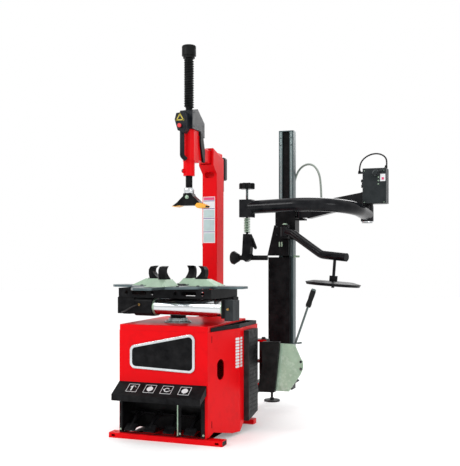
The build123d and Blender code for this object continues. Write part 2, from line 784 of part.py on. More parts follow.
TILT = math.radians(4.2)
disc_axis = (math.sin(TILT) * 0.94, math.sin(TILT) * 0.342, math.cos(TILT))
disc_plane = Plane(origin=(706, 650, 795), z_dir=disc_axis)
with BuildPart() as lower_arm:
    with BuildLine() as swing_line:
        FilletPolyline(
            (SWING_X, SWING_Y, 1110), (426, 763, 1098), (628, 690, 966), (792, 622, 950),
            radius=(60, 95),
        )
    with BuildSketch(Plane(origin=swing_line.line @ 0, z_dir=swing_line.line % 0)):
        Circle(25)
    sweep()
    with Locations((SWING_X, SWING_Y, 1108)):
        Cylinder(27, 59)
    with Locations((SWING_X, SWING_Y, 1110)):
        Cylinder(PIN_R + FIT, 200, mode=Mode.SUBTRACT)
    with BuildSketch(disc_plane.offset(-24)):
        Circle(9)
    extrude(amount=192)
save(lower_arm, "lower_arm")

with BuildPart() as roller_disc:
    with BuildSketch(disc_plane.offset(-12)):
        Circle(155)
    with BuildSketch(disc_plane.offset(4)):
        Circle(163)
    loft()
    with BuildSketch(disc_plane.offset(4)):
        Circle(163)
    with BuildSketch(disc_plane.offset(14)):
        Circle(118)
    loft()
    with BuildSketch(disc_plane.offset(13)):
        Circle(24)
    extrude(amount=34)
    with BuildSketch(disc_plane.offset(-40)):
        Circle(9 + FIT)
    extrude(amount=120, mode=Mode.SUBTRACT)
save(roller_disc, "roller_disc")

# ---------------------------------------------------------------- hoses
ROUTES = {
    "loop_hose": (4.5, [
        (854, 696, 1453), (853, 697, 1495), (885, 700, 1538), (938, 700, 1558), (990, 696, 1548),
        (1018, 691, 1512), (1010, 688, 1465),
    ]),
    "grey_hose": (6.5, [
        (385, 943, 1291), (386, 944, 1400), (402, 943, 1468), (430, 933, 1512), (478, 911, 1536),
        (530, 885, 1526), (566, 866, 1482), (584, 856, 1416), (588, 851, 1305),
    ]),
}
for name, (radius, route) in ROUTES.items():
    points = [Vector(p) for p in route]
    bends = []
    for before, here, after in zip(points, points[1:], points[2:]):
        turn = (here - before).get_angle(after - here)
        run = min((here - before).length, (after - here).length)
        bends.append(0.45 * run / math.tan(math.radians(turn / 2)))
    with BuildPart() as hose:
        with BuildLine() as hose_line:
            FilletPolyline(route, radius=bends)
        with BuildSketch(Plane(origin=hose_line.line @ 0, z_dir=hose_line.line % 0)):
            Circle(radius)
        sweep()
    save(hose, name)
    hose_length = sum(edge.length for edge in hose_line.edges())
    print(name, "radii", [round(bend) for bend in bends], "length", round(hose_length))
    print(name, "volume ratio", hose.part.volume / (math.pi * radius**2 * hose_length))
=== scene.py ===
"""Looks of the tilt-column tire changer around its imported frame, in metres."""

import math

import bmesh
import bpy
from mathutils import Matrix, Vector


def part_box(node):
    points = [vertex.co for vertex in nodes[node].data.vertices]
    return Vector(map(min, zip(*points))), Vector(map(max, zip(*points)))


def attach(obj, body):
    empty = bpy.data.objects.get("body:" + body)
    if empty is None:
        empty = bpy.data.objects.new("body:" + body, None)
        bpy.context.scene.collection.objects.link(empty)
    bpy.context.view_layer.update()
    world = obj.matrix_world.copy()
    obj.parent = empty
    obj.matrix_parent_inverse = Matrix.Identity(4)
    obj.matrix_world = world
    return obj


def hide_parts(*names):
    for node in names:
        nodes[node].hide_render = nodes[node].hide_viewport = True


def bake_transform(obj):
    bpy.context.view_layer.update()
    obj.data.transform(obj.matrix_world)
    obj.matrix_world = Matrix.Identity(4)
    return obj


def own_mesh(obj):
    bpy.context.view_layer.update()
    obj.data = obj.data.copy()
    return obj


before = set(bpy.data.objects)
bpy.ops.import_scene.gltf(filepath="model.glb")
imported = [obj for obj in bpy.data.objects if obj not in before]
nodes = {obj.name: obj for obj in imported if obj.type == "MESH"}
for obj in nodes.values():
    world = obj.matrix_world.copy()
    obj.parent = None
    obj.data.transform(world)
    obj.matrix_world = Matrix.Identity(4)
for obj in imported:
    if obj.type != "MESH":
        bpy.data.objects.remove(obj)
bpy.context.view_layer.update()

TO_RIGHT, TO_LEFT, TO_FRONT, TO_BACK = (1, 0, 0), (-1, 0, 0), (0, -1, 0), (0, 1, 0)
UP, DOWN = (0, 0, 1), (0, 0, -1)

# axes and faces that several pieces share
POST_Y = 0.150  # the vertical tool shaft
PRESS_X, PRESS_Y = 0.261, 0.390  # the press screw
BREAKER_X, BREAKER_Y = 0.345, 0.440  # the breaker arm's pivot
LINK_X, LINK_Y = 0.450, 0.885  # the link arm's pivot
ELBOW_X, ELBOW_Y = 0.884, 0.777  # the reach arm's pivot
SWING_X, SWING_Y = 0.375, 0.780  # the lower arm's pivot
BARREL_Y, BARREL_Z = -0.100, 0.690  # a clamping barrel, before the table's turn
SPLAY_FOOT = Vector((0.250, -0.200, 0))  # where the cabinet's right side starts to splay
SIDE_X = 0.320  # the right side behind its bend

# ------------------------------------------------------------------ camera
FOCAL, FRAME_LONG = 790, 466
camera_data = bpy.data.cameras.new("camera")
camera_data.sensor_width = 36
camera_data.lens = FOCAL * camera_data.sensor_width / FRAME_LONG
camera_data.shift_y = 22 / FRAME_LONG
camera = bpy.data.objects.new("camera", camera_data)
camera.location = (1.725, -3.92, 0.964)
camera.rotation_euler = (math.radians(90), 0, math.radians(20))
bpy.context.scene.collection.objects.link(camera)
bpy.context.scene.camera = camera
bpy.context.scene.view_settings.view_transform = "Standard"


# ------------------------------------------------------------------ materials
def colour(red, green, blue):
    """Linear colour of an sRGB triple out of 255."""
    parts = []
    for value in (red, green, blue):
        value /= 255
        parts.append(value / 12.92 if value <= 0.04045 else ((value + 0.055) / 1.055) ** 2.4)
    return (*parts, 1)


def material(
    name, base, rough, metal=0.0, grain=0.0, grain_size=0.001, mottle=0.1, mottle_size=0.05,
    wear=None, wear_amount=0.0, stretch=(1, 1, 1), edge=0.0012, scuff=0.06, specular=0.5,
):
    """A procedural surface: mottled colour, uneven gloss, a fine grain, worn and rounded edges."""
    made = bpy.data.materials.new(name)
    made.use_nodes = True
    tree = made.node_tree
    shader = tree.nodes["Principled BSDF"]
    shader.inputs["Metallic"].default_value = metal
    shader.inputs["Specular IOR Level"].default_value = specular

    def node(kind, **values):
        fresh = tree.nodes.new(kind)
        for key, value in values.items():
            if hasattr(fresh, key):
                setattr(fresh, key, value)
            else:
                fresh.inputs[key.replace("_", " ")].default_value = value
        return fresh

    place = node("ShaderNodeTexCoord").outputs["Object"]
    squeeze = node("ShaderNodeMapping")
    squeeze.inputs["Scale"].default_value = stretch
    tree.links.new(place, squeeze.inputs["Vector"])

    def noise(size, detail):
        cloud = node("ShaderNodeTexNoise", Scale=1 / size, Detail=detail, Roughness=0.6)
        tree.links.new(squeeze.outputs["Vector"], cloud.inputs["Vector"])
        return cloud.outputs["Fac"]

    def ramp(source, low, high, low_colour, high_colour):
        band = node("ShaderNodeValToRGB")
        band.color_ramp.elements[0].position = low
        band.color_ramp.elements[1].position = high
        band.color_ramp.elements[0].color = low_colour
        band.color_ramp.elements[1].color = high_colour
        tree.links.new(source, band.inputs["Fac"])
        return band.outputs["Color"]

    # the colour drifts between a darker and a lighter tone
    blotches = noise(mottle_size, 5)
    dark = (*(part * (1 - mottle) for part in base[:3]), 1)
    light = (*(min(1, part * (1 + mottle) + 0.1 * mottle) for part in base[:3]), 1)
    skin = ramp(blotches, 0.3, 0.7, dark, light)
    if wear:
        # paint rubbed off along convex edges, in patches
        bend = node("ShaderNodeNewGeometry").outputs["Pointiness"]
        rim = ramp(bend, 0.515, 0.56, (0, 0, 0, 1), (1, 1, 1, 1))
        chips = ramp(noise(mottle_size / 3, 6), 0.5, 0.62, (0, 0, 0, 1), (1, 1, 1, 1))
        both = node("ShaderNodeMath", operation="MULTIPLY")
        tree.links.new(rim, both.inputs[0])
        tree.links.new(chips, both.inputs[1])
        share = node("ShaderNodeMath", operation="MULTIPLY")
        tree.links.new(both.outputs[0], share.inputs[0])
        share.inputs[1].default_value = wear_amount
        mixed = node("ShaderNodeMix", data_type="RGBA")
        tree.links.new(share.outputs[0], mixed.inputs["Factor"])
        tree.links.new(skin, mixed.inputs["A"])
        mixed.inputs["B"].default_value = wear
        skin = mixed.outputs["Result"]
    tree.links.new(skin, shader.inputs["Base Color"])

    # the gloss drifts too
    gloss = node("ShaderNodeMapRange")
    gloss.inputs["From Min"].default_value = 0.3
    gloss.inputs["From Max"].default_value = 0.7
    gloss.inputs["To Min"].default_value = max(0.02, rough - scuff)
    gloss.inputs["To Max"].default_value = min(1, rough + scuff)
    tree.links.new(noise(mottle_size * 0.6, 6), gloss.inputs["Value"])
    tree.links.new(gloss.outputs["Result"], shader.inputs["Roughness"])

    # edges look rounded, and the surface has a fine grain
    rounding = node("ShaderNodeBevel", samples=4)
    rounding.inputs["Radius"].default_value = edge
    bump = node("ShaderNodeBump", Strength=grain, Distance=0.001)
    tree.links.new(noise(grain_size, 3), bump.inputs["Height"])
    tree.links.new(rounding.outputs["Normal"], bump.inputs["Normal"])
    tree.links.new(bump.outputs["Normal"], shader.inputs["Normal"])
    return made


RED = material(
    "red_enamel", colour(214, 4, 14), 0.34, grain=0.1, grain_size=0.0035, mottle=0.015,
    mottle_size=0.2, wear=colour(140, 10, 16), wear_amount=0.12, edge=0.003, scuff=0.01, specular=0.07,
)
BLACK = material(
    "black_enamel", colour(7, 7, 9), 0.32, grain=0.12, grain_size=0.003, mottle=0.1,
    wear=colour(40, 42, 46), wear_amount=0.15, edge=0.0025, specular=0.05, scuff=0.02,
)
GLOSS_BLACK = material(
    "gloss_black_tube", colour(5, 6, 11), 0.18, grain=0.05, grain_size=0.004, mottle=0.1,
    edge=0.003, scuff=0.01, specular=0.13,
)
PLASTIC = material(
    "black_plastic", colour(9, 11, 11), 0.4, grain=0.3, grain_size=0.0009, mottle=0.12, edge=0.004,
    specular=0.06,
)
BOX_PAINT = material(
    "box_paint", colour(31, 36, 38), 0.42, grain=0.25, grain_size=0.0012, mottle=0.1, edge=0.003,
    specular=0.12,
)
DARK_BLUE = material(
    "cover_plastic", colour(12, 18, 24), 0.34, grain=0.25, grain_size=0.001, mottle=0.1, edge=0.004,
    specular=0.12,
)
RUBBER = material(
    "rubber", colour(12, 13, 14), 0.55, grain=0.4, grain_size=0.0012, mottle=0.2, specular=0.25
)
GREY_HOSE = material("grey_hose", colour(128, 138, 130), 0.4, grain=0.25, grain_size=0.0015)
ZINC = material(
    "zinc_plate", colour(150, 174, 152), 0.4, metal=0.55, grain=0.2, grain_size=0.0025, mottle=0.1,
    mottle_size=0.06, wear=colour(215, 228, 218), wear_amount=0.25, edge=0.002, scuff=0.03,
)
PLATE = material(
    "plate_steel", colour(84, 98, 102), 0.3, metal=0.85, grain=0.25, grain_size=0.002, mottle=0.08,
    mottle_size=0.15, wear=colour(150, 160, 160), wear_amount=0.12, edge=0.002, scuff=0.03,
)
STEEL = material(
    "machined_steel", colour(142, 156, 156), 0.3, metal=0.9, grain=0.25, grain_size=0.0012,
    mottle=0.12, stretch=(1, 1, 0.08), edge=0.001, scuff=0.08,
)
RAIL = material(
    "rail_steel", colour(62, 76, 78), 0.36, metal=0.6, grain=0.25, grain_size=0.0015,
    mottle=0.15, stretch=(1, 1, 0.1), edge=0.0015, scuff=0.06, specular=0.3,
)
DARK_STEEL = material(
    "dark_steel", colour(26, 30, 33), 0.34, metal=0.6, grain=0.3, grain_size=0.002, mottle=0.25,
    wear=colour(130, 138, 138), wear_amount=0.5, edge=0.002, specular=0.3,
)
LEVER = material(
    "lever_steel", colour(84, 96, 94), 0.35, metal=0.8, grain=0.2, grain_size=0.002, mottle=0.15
)
CHROME = material(
    "chrome", colour(205, 208, 210), 0.2, metal=1.0, grain=0.05, grain_size=0.004, mottle=0.03,
    stretch=(0.1, 1, 1), scuff=0.04,
)
RIM = material(
    "plate_rim", colour(200, 204, 206), 0.2, metal=0.9, grain=0.1, grain_size=0.002, edge=0.006,
)
CAST = material(
    "cast_iron", colour(60, 64, 66), 0.6, metal=0.4, grain=0.9, grain_size=0.003, mottle=0.3,
)
YELLOW = material("yellow_insert", colour(224, 160, 40), 0.4, grain=0.25, grain_size=0.001)
SIGN_YELLOW = material("sign_yellow", colour(172, 156, 40), 0.45, grain=0.1)
BUTTON_RED = material("button_red", colour(206, 26, 32), 0.35, grain=0.15, grain_size=0.001)
WHITE = material("print_white", colour(214, 216, 218), 0.45, grain=0.1, mottle=0.04)
LABEL_GREY = material("label_grey", colour(170, 190, 190), 0.4, grain=0.1, mottle=0.08)
LABEL_PINK = material("label_pink", colour(206, 60, 110), 0.4, grain=0.1, mottle=0.08)
LABEL_BLUE = material("label_blue", colour(80, 66, 140), 0.4, grain=0.1, mottle=0.08)
BRASS = material("brass", colour(176, 138, 76), 0.28, metal=0.95, grain=0.15)
SLOT_BLACK = material("slot_black", colour(6, 6, 7), 0.8, grain=0.2, specular=0.1)

FINISH = {
    RED: (
        "base_frame cabinet_shell cabinet_top column_bracket breaker_cylinder column slide_arm"
        " tool_head"
    ),
    BLACK: (
        "pedal_hood pedal_bay pedal_1 pedal_2 pedal_3 pedal_4 jaw_1 jaw_2 jaw_3 jaw_4"
        " breaker_arm carriage mast_cover press_tool clamp_blocks mount_head side_tray tool_shaft"
        " turntable_hub helper_base roller_disc"
    ),
    GLOSS_BLACK: "reach_arm link_arm lower_arm",
    BOX_PAINT: "control_box",
    PLASTIC: "blade_guard press_screw shaft_cap",
    DARK_BLUE: "head_cover arm_tail_cap",
    RUBBER: "bead_pad levelling_foot",
    ZINC: "jaw_slide_1 jaw_slide_2 jaw_slide_3 jaw_slide_4 breaker_blade",
    PLATE: "turntable_plate",
    RAIL: "mast",
    STEEL: "breaker_rod shaft_bearing",
    DARK_STEEL: "control_lever",
    LEVER: "breaker_handle",
    CHROME: "clamp_barrels",
    RIM: "nameplate",
    CAST: "gearbox motor",
    BUTTON_RED: "lock_button",
}
SMOOTH = math.radians(32)
for finish, names in FINISH.items():
    for name in names.split():
        shown = nodes[name]
        shown.data.materials.clear()
        shown.data.materials.append(finish)
        shown.data.shade_smooth()
        shown.data.set_sharp_from_angle(angle=SMOOTH)


def second_finish(name, finish, chosen):
    """Gives another finish to the faces of a CAD piece whose middle is chosen."""
    mesh = nodes[name].data
    mesh.materials.append(finish)
    for face in mesh.polygons:
        if chosen(face.center):
            face.material_index = 1


SKIRT_DROP, LUG_X, OUTER_BLOCK_X = 0.0125, 0.28, 0.34
plate_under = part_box("turntable_plate")[1].z - SKIRT_DROP
second_finish("turntable_plate", BLACK, lambda at: at.z < plate_under)
shell_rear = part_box("cabinet_top")[1].y
second_finish("cabinet_shell", BLACK, lambda at: at.y > shell_rear + 0.001 and at.x > LUG_X)
second_finish("clamp_blocks", BOX_PAINT, lambda at: abs(at.x) > OUTER_BLOCK_X)


# ------------------------------------------------------------------ mesh building
class Shape:
    """A mesh grown from turned, extruded and swept parts."""

    def __init__(self):
        self.bm = bmesh.new()

    def turned(self, at, axis, profile, segments=32):
        """Profile of (radius, height) pairs turned about the axis through at."""
        turn = Vector((0, 0, 1)).rotation_difference(Vector(axis)).to_matrix()
        rings = []
        for radius, height in profile:
            ring = []
            for step in range(segments):
                angle = 2 * math.pi * step / segments
                spot = Vector((radius * math.cos(angle), radius * math.sin(angle), height))
                ring.append(self.bm.verts.new(Vector(at) + turn @ spot))
            rings.append(ring)
        for lower, upper in zip(rings, rings[1:]):
            for step in range(segments):
                after = (step + 1) % segments
                self.bm.faces.new((lower[step], lower[after], upper[after], upper[step]))
        self.bm.faces.new(list(reversed(rings[0])))
        self.bm.faces.new(rings[-1])
        return self

    def bolt(self, at, axis, size, washer=True):
        """A hexagon head on a washer; size is its radius."""
        lift = 0.0
        if washer:
            lift = size * 0.2
            self.turned(at, axis, [(size * 1.35, 0), (size * 1.35, lift), (size * 1.2, size * 0.28)], 24)
        base = Vector(at) + Vector(axis).normalized() * lift
        self.turned(base, axis, [(size, 0), (size, size * 0.6), (size * 0.85, size * 0.75)], 6)
        return self

    def screw(self, at, axis, size):
        """A domed screw head with a socket."""
        profile = [
            (size, 0), (size, size * 0.25), (size * 0.8, size * 0.5), (size * 0.45, size * 0.6),
            (size * 0.4, size * 0.3), (size * 0.05, size * 0.3),
        ]
        return self.turned(at, axis, profile, 20)

    def prism(self, outline, origin, across, up, depth):
        """Outline of (across, up) pairs extruded by depth along across x up."""
        across, up = Vector(across).normalized(), Vector(up).normalized()
        out = across.cross(up)
        back = [self.bm.verts.new(Vector(origin) + across * u + up * v) for u, v in outline]
        front = [self.bm.verts.new(v.co + out * depth) for v in back]
        count = len(outline)
        self.bm.faces.new(list(reversed(back)))
        self.bm.faces.new(front)
        for step in range(count):
            after = (step + 1) % count
            self.bm.faces.new((back[step], back[after], front[after], front[step]))
        return self

    def block(self, low, high):
        """An upright box between two corners."""
        (x0, y0, z0), (x1, y1, z1) = low, high
        outline = [(x0, y0), (x1, y0), (x1, y1), (x0, y1)]
        return self.prism(outline, (0, 0, z0), (1, 0, 0), (0, 1, 0), z1 - z0)

    def tube(self, path, radius, segments=16):
        """A round bar along a path of points."""
        path = [Vector(p) for p in path]
        rings = []
        side = None
        for step, here in enumerate(path):
            ahead = path[min(step + 1, len(path) - 1)] - path[max(step - 1, 0)]
            ahead.normalize()
            side = side or (Vector((0, 0, 1)) if abs(ahead.z) < 0.9 else Vector((1, 0, 0)))
            side = (side - ahead * side.dot(ahead)).normalized()
            other = ahead.cross(side)
            ring = []
            for turn in range(segments):
                angle = 2 * math.pi * turn / segments
                ring.append(
                    self.bm.verts.new(here + (side * math.cos(angle) + other * math.sin(angle)) * radius)
                )
            rings.append(ring)
        for lower, upper in zip(rings, rings[1:]):
            for turn in range(segments):
                after = (turn + 1) % segments
                self.bm.faces.new((lower[turn], lower[after], upper[after], upper[turn]))
        self.bm.faces.new(list(reversed(rings[0])))
        self.bm.faces.new(rings[-1])
        return self

    def made(self, name, body, finish, bevel=0.0, slot=None):
        """Turns the mesh into a piece, which rides on a body if one is given."""
        bmesh.ops.recalc_face_normals(self.bm, faces=self.bm.faces)
        mesh = bpy.data.meshes.new(name)
        self.bm.to_mesh(mesh)
        self.bm.free()
        mesh.materials.append(finish)
        mesh.shade_smooth()
        mesh.set_sharp_from_angle(angle=SMOOTH)
        piece = bpy.data.objects.new(name, mesh)
        bpy.context.scene.collection.objects.link(piece)
        if bevel:
            rounding = piece.modifiers.new("rounding", "BEVEL")
            rounding.width = bevel
            rounding.segments = 2
            rounding.limit_method = "ANGLE"
        if body:
            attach(piece, body)
        return piece


def rounded(corners, radius, steps=6):
    """An outline with its corners rounded."""
    points = []
    count = len(corners)
    for step in range(count):
        before, here, after = (Vector(corners[(step + k) % count]) for k in (-1, 0, 1))
        to_before, to_after = (before - here).normalized(), (after - here).normalized()
        half = to_before.angle(to_after) / 2
        reach = radius / math.tan(half)
        start, end = here + to_before * reach, here + to_after * reach
        centre = here + (to_before + to_after).normalized() * radius / math.sin(half)
        for k in range(steps + 1):
            share = k / steps
            spot = start.lerp(end, share) - centre
            points.append(tuple(centre + spot.normalized() * radius))
    return points


def route_curve(name, points, resolution):
    """A NURBS curve with a route's points as its control points."""
    curve = bpy.data.curves.new(name, "CURVE")
    curve.dimensions = "3D"
    curve.resolution_u = resolution
    spline = curve.splines.new("NURBS")
    spline.points.add(len(points) - 1)
    for spot, point in zip(spline.points, points):
        spot.co = (*point, 1)
    spline.order_u = 3
    spline.use_endpoint_u = True
    return curve


def smooth_path(points, resolution=10):
    """Points along the NURBS spline of a route."""
    holder = bpy.data.objects.new("route", route_curve("route", points, resolution))
    mesh = bpy.data.meshes.new_from_object(holder)
    found = [v.co.copy() for v in mesh.vertices]
    bpy.data.objects.remove(holder)
    return found


def helix(centre, radius, low, high, turns, steps):
    """Points up a coil about an upright axis, with that many steps to a turn."""
    points = []
    for step in range(steps * turns + 1):
        angle = 2 * math.pi * step / steps
        points.append(
            (
                centre[0] + radius * math.cos(angle), centre[1] + radius * math.sin(angle),
                low + (high - low) * step / (steps * turns),
            )
        )
    return points


# ------------------------------------------------------------------ hoses
def hose(name, points, radius, finish):
    """A hose as one NURBS curve."""
    curve = route_curve(name, points, 16)
    curve.bevel_depth = radius
    curve.bevel_resolution = 5
    curve.use_fill_caps = True
    curve.materials.append(finish)
    piece = bpy.data.objects.new(name, curve)
    bpy.context.scene.collection.objects.link(piece)
    return piece


LOOP_ROUTE = [
    (0.854, 0.696, 1.453), (0.853, 0.697, 1.495), (0.885, 0.700, 1.538), (0.938, 0.700, 1.558),
    (0.990, 0.696, 1.548), (1.018, 0.691, 1.512), (1.010, 0.688, 1.465),
]
GREY_ROUTE = [
    (0.385, 0.943, 1.291), (0.386, 0.944, 1.400), (0.402, 0.943, 1.468), (0.430, 0.933, 1.512),
    (0.478, 0.911, 1.536), (0.530, 0.885, 1.526), (0.566, 0.866, 1.482), (0.584, 0.856, 1.416),
    (0.588, 0.851, 1.305),
]
loop = hose("loop_hose_line", LOOP_ROUTE, 0.0045, RUBBER)
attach(loop, "link")
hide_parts("loop_hose")

# the grey hose crosses the link arm's pivot, so it is a mesh that rides on neither body
grey_path = smooth_path(GREY_ROUTE, resolution=16)
grey_bar = Shape().tube(grey_path, 0.0065, 20)
grey = grey_bar.made("grey_hose_line", None, GREY_HOSE, slot="grey_rubber")
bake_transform(grey)
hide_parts("grey_hose")

# ------------------------------------------------------------------ cabinet
# the badge plate's blank panel
panel = [(-0.173, 0.478), (0.168, 0.549), (0.168, 0.372), (-0.173, 0.384)]
plate_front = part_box("nameplate")[0].y
Shape().prism(rounded(panel, 0.020), (0, plate_front, 0), TO_RIGHT, UP, 0.0008).made(
    "nameplate_panel", "base", BLACK, 0.0004, "nameplate_trim"
)

# two columns of pale marks, one on each side of the right side's bend
SPLAY_ALONG = (0.2272, 0.9738, 0)
MARK_TOP, MARK_HEIGHT, MARK_PITCH, MARK_ROWS = 0.521, 0.013, 0.0165, 10
side_marks = Shape()
for row in range(MARK_ROWS):
    top = MARK_TOP - MARK_PITCH * row
    for foot, along, near, far in (
        (SPLAY_FOOT, SPLAY_ALONG, 0.2620, 0.3000), ((SIDE_X, 0, 0), TO_BACK, 0.1020, 0.1330),
    ):
        corners = [(near, top - MARK_HEIGHT), (far, top - MARK_HEIGHT), (far, top), (near, top)]
        side_marks.prism(rounded(corners, 0.0055), foot, along, UP, 0.0006)
side_marks.made("side_marks", "base", WHITE, slot="nameplate_trim")

# the pedal bay's floor as a black sheet of painted shade, and the bay's screws and bright strip
bay_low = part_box("pedal_bay")[0]
bay_front = bay_low.y + 0.0015
# a black sheet on the bay's floor, put there mainly as painted shade so the open bay reads dark
bay_floor_shade = Shape().block((-0.244, bay_front + 0.012, 0.003), (0.226, 0.380, 0.005))
bay_floor_shade.made("bay_floor_painted_shade", "base", BLACK, slot="black_paint")
bay_screws = Shape()
for x, z in ((0.229, 0.272), (0.229, 0.048), (0.099, 0.048), (-0.240, 0.048), (-0.240, 0.272)):
    bay_screws.screw((x, bay_front, z), TO_FRONT, 0.006)
bay_screws.made("bay_screws", "base", ZINC, slot="plated_steel")
Shape().block((0.084, bay_low.y - 0.001, 0.036), (0.0905, bay_low.y, 0.196)).made(
    "bay_strip", "base", ZINC, 0.0003, "plated_steel"
)

# four framed pictograms on the hood's slope
SLOPE_TOP, SLOPE_LOW = Vector((0, -0.200, 0.300)), Vector((0, -0.290, 0.244))
slope_up = (SLOPE_TOP - SLOPE_LOW).normalized()
slope_centre = SLOPE_LOW.lerp(SLOPE_TOP, 0.55)
signs = Shape()
SIGN_HALF, SIGN_LINE, SIGN_THICK = 0.029, 0.0022, 0.0008


def sign_bar(place, a, b, width):
    """A flat printed stroke between two points of a sign's own plane."""
    start, end = Vector(a), Vector(b)
    along = (end - start).normalized()
    side = Vector((-along.y, along.x)) * width / 2
    outline = [start + side, start - side, end - side, end + side]
    signs.prism([tuple(p) for p in outline], place, TO_RIGHT, slope_up, SIGN_THICK)


def sign_ring(place, centre, outer, inner, first=0.0, last=2 * math.pi, steps=28):
    """A flat printed arc."""
    for step in range(steps):
        a0 = first + (last - first) * step / steps
        a1 = first + (last - first) * (step + 1) / steps
        outline = [
            (centre[0] + r * math.cos(a), centre[1] + r * math.sin(a))
            for r, a in ((inner, a0), (outer, a0), (outer, a1), (inner, a1))
        ]
        signs.prism(outline, place, TO_RIGHT, slope_up, SIGN_THICK)


for number, x in enumerate((-0.151, -0.053, 0.042, 0.142)):
    spot = slope_centre + Vector((x, 0, 0))
    corners = [(SIGN_HALF * u, SIGN_HALF * v) for u, v in ((-1, -1), (1, -1), (1, 1), (-1, 1))]
    for k in range(4):
        sign_bar(spot, corners[k], corners[(k + 1) % 4], SIGN_LINE)
    if number == 0:
        sign_bar(spot, (-0.004, -0.020), (-0.004, 0.008), 0.007)
        sign_bar(spot, (-0.014, 0.006), (0.002, 0.016), 0.006)
        sign_bar(spot, (0.006, 0.018), (0.016, 0.006), 0.002)
    elif number == 2:
        sign_ring(spot, (0, 0), 0.015, 0.011, 0.5, 5.6)
        sign_bar(spot, (0.004, -0.016), (0.022, -0.002), 0.003)
        sign_bar(spot, (-0.020, 0.004), (-0.008, -0.004), 0.006)
    else:
        sign_ring(spot, (0, 0), 0.017, 0.002)
        sign_bar(spot, (0, -0.024), (0, 0.024), 0.002)
signs.made("hood_signs", "base", WHITE)

# end caps of the front rail
rail_low, rail_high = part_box("base_frame")
caps = Shape()
for x in (rail_high.x - 0.006, rail_low.x + 0.0005):
    caps.block((x, rail_low.y + 0.003, 0.003), (x + 0.0055, rail_low.y + 0.062, 0.025))
caps.made("rail_caps", "base", PLASTIC, 0.001, "black_plastic")

# slots and screws of the cabinet
seams = Shape()
SPLAY = Vector((0.070, 0.300, 0)).normalized()
SLOT_OFF, SLOT_WIDE, SLOT_TALL = 0.036, 0.004, 0.034
for z in (0.515, 0.080):
    corner = SPLAY_FOOT + SPLAY * SLOT_OFF + Vector((0, 0, z))
    outline = [(0, 0), (SLOT_WIDE, 0), (SLOT_WIDE, SLOT_TALL), (0, SLOT_TALL)]
    seams.prism(outline, corner, SPLAY, UP, 0.0006)
seams.made("cabinet_slots", "base", SLOT_BLACK)

cabinet_screws = Shape()
LEFT_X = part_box("cabinet_shell")[0].x
for y in (-0.16, 0.10, 0.36):
    for z in (0.06, 0.54):
        cabinet_screws.screw((LEFT_X, y, z), TO_LEFT, 0.006)
for x in (-0.21, 0.28):
    for z in (0.30, 0.54):
        cabinet_screws.screw((x, 0.400, z), TO_BACK, 0.006)
cabinet_screws.made("cabinet_screws", "base", ZINC, slot="plated_steel")

# diamond tread of the bead pad
pad_low, pad_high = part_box("bead_pad")
tread = Shape()
DIAMOND = 0.011
TREAD_LOW, TREAD_Y, TREAD_MARGIN = 0.108, 0.240, 0.012
reach = DIAMOND * 0.8
face = pad_high.x - 0.0005
rows = int((pad_high.z - 0.10) / (2 * DIAMOND)) - 1
for row in range(rows):
    z = TREAD_LOW + 2 * DIAMOND * row
    for column_step in range(-3, 4):
        for shift in (0, DIAMOND):
            y = TREAD_Y + column_step * 2 * DIAMOND + shift
            if not pad_low.y + TREAD_MARGIN < y < pad_high.y - TREAD_MARGIN:
                continue
            peak = tread.bm.verts.new((face + 0.0022, y, z + shift))
            ring = [
                tread.bm.verts.new((face, y + dy, z + shift + dz))
                for dy, dz in ((reach, 0), (0, reach), (-reach, 0), (0, -reach))
            ]
            for k in range(4):
                tread.bm.faces.new((ring[k], ring[(k + 1) % 4], peak))
            tread.bm.faces.new(list(reversed(ring)))
tread.made("pad_tread", "base", RUBBER, slot="rubber")

# bolts of the column bracket, the breaker pin and the helper base
joints = Shape()
for side in (-1, 1):
    joints.bolt((side * 0.070, 0.560, 0.620), (side, 0, 0), 0.016)
    for y in (0.43, 0.60):
        joints.bolt((side * 0.062, y, 0.45), (side, 0, 0), 0.009)
joints.bolt((BREAKER_X, BREAKER_Y, 0.479), UP, 0.012)
for x in (0.145, 0.255):
    for z in (0.095, 0.205):
        joints.bolt((x, 0.410, z), TO_BACK, 0.009)
for x in (0.302, 0.412):
    for y in (0.858, 0.944):
        joints.bolt((x, y, 0.170), UP, 0.006)
joints.bolt((0.200, 1.080, 0.170), UP, 0.014)
joints.made("structure_bolts", "base", DARK_STEEL, slot="plated_steel")

# ------------------------------------------------------------------ turntable
TURN = Matrix.Rotation(math.radians(-6), 3, "Z")
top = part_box("turntable_plate")[1].z
table_bolts = Shape()
for step in range(4):
    turn = Matrix.Rotation(math.radians(90 * step), 3, "Z")
    for x, y in ((0.040, 0.040), (0.172, 0.172 * 0.55), (0.172, -0.172 * 0.55)):
        table_bolts.screw(TURN @ (turn @ Vector((x, y, top))), UP, 0.009)
table_bolts.made("table_bolts", "turntable", DARK_STEEL, slot="plated_steel")
cap_profile = [(0.046, 0), (0.046, 0.004), (0.040, 0.008), (0.012, 0.009)]
table_cap = Shape().turned((0, 0, top), UP, cap_profile, 48)
table_cap.made("table_centre_cap", "turntable", BLACK, slot="black_paint")

for step in range(4):
    turn = TURN @ Matrix.Rotation(math.radians(90 * step), 3, "Z")
    fixings = Shape()
    for y in (-0.014, 0.014):
        fixings.screw(turn @ Vector((0.1765, y, 0.836)), UP, 0.005)
    fixings.made(
        f"jaw_bolts_{step + 1}", f"jaw_carrier_{step + 1}", DARK_STEEL, slot="plated_steel"
    )

